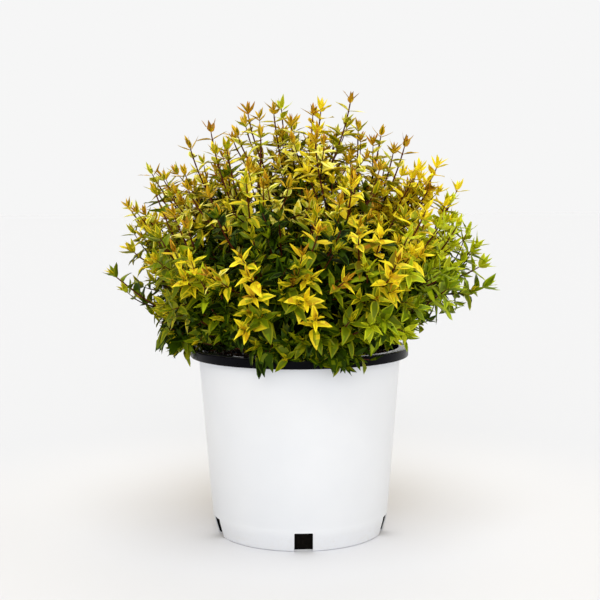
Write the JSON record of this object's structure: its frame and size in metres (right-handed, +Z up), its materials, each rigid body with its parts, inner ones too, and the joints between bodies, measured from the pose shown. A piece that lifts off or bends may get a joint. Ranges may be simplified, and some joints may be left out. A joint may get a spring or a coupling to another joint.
{
  "type": "glossy abelia shrub in a nursery pot",
  "caption": "Rounded, open-topped variegated shrub with opposite leaves on thin upright shoots, growing in a tapered round white nursery pot with a black rolled lip.",
  "frame": {"origin": "centre of the pot's flat underside", "axes": "+Z up, -Y towards the side that the picture shows, +X to its right"},
  "size_m": [0.484, 0.4539, 0.5561],
  "materials": {
    "pot_white": "satin white moulded outside",
    "pot_black": "black moulded inside and lip",
    "potting_mix": "moist bark-based potting mix",
    "bark": "thin brown bark",
    "foliage": "glossy green and gold leaves on red-brown shoots"
  },
  "bodies": {
    "root": {"flank_1_bough": "bark", "flank_1_foliage": "foliage", "flank_2_bough": "bark", "flank_2_foliage": "foliage", "flank_3_bough": "bark", "flank_3_foliage": "foliage", "flank_4_bough": "bark", "flank_4_foliage": "foliage", "flank_5_bough": "bark", "flank_5_foliage": "foliage", "flank_6_bough": "bark", "flank_6_foliage": "foliage", "flank_7_bough": "bark", "flank_7_foliage": "foliage", "pot_lining": "pot_black", "pot_skin": "pot_white", "potting_mix": "potting_mix", "shoulder_1_bough": "bark", "shoulder_1_foliage": "foliage", "shoulder_2_bough": "bark", "shoulder_2_foliage": "foliage", "shoulder_3_bough": "bark", "shoulder_3_foliage": "foliage", "shoulder_4_bough": "bark", "shoulder_4_foliage": "foliage", "shoulder_5_bough": "bark", "shoulder_5_foliage": "foliage", "skirt_1_bough": "bark", "skirt_1_foliage": "foliage", "skirt_2_bough": "bark", "skirt_2_foliage": "foliage", "skirt_3_bough": "bark", "skirt_3_foliage": "foliage", "skirt_4_bough": "bark", "skirt_4_foliage": "foliage", "skirt_5_bough": "bark", "skirt_5_foliage": "foliage", "skirt_6_bough": "bark", "skirt_6_foliage": "foliage", "skirt_7_bough": "bark", "skirt_7_foliage": "foliage", "skirt_8_bough": "bark", "skirt_8_foliage": "foliage", "stem_base": "bark", "top_bough": "bark", "top_foliage": "foliage"}
  },
  "joints": []
}
